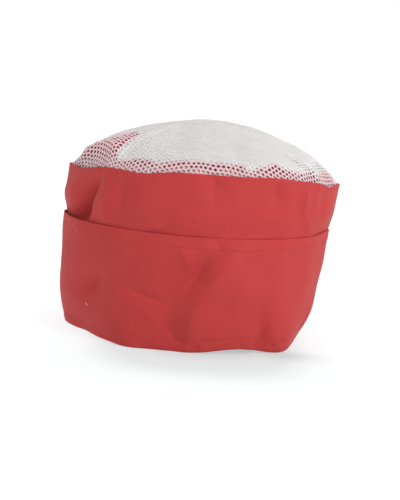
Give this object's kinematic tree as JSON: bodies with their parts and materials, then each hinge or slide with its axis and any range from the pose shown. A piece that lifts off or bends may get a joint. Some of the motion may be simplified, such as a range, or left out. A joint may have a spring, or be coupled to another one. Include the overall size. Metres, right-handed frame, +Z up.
{
  "type": "net-top skull cap",
  "caption": "Brimless cook's cap: round cloth side band with a tall turned-up cuff and a low domed crown of open net, lying on its rim.",
  "frame": {"origin": "middle of the footprint, on the surface that the rim rests on", "axes": "+X to the wearer's left side as shown from the front, +Y from the front to the back, +Z up"},
  "size_m": [0.2091, 0.197, 0.1635],
  "materials": {
    "cloth": "matt woven cotton blend, coral red",
    "net": "matt white knitted net with oval holes"
  },
  "bodies": {
    "root": {"cuff": "cloth", "side_band": "cloth", "crown_net": "net"}
  },
  "joints": []
}
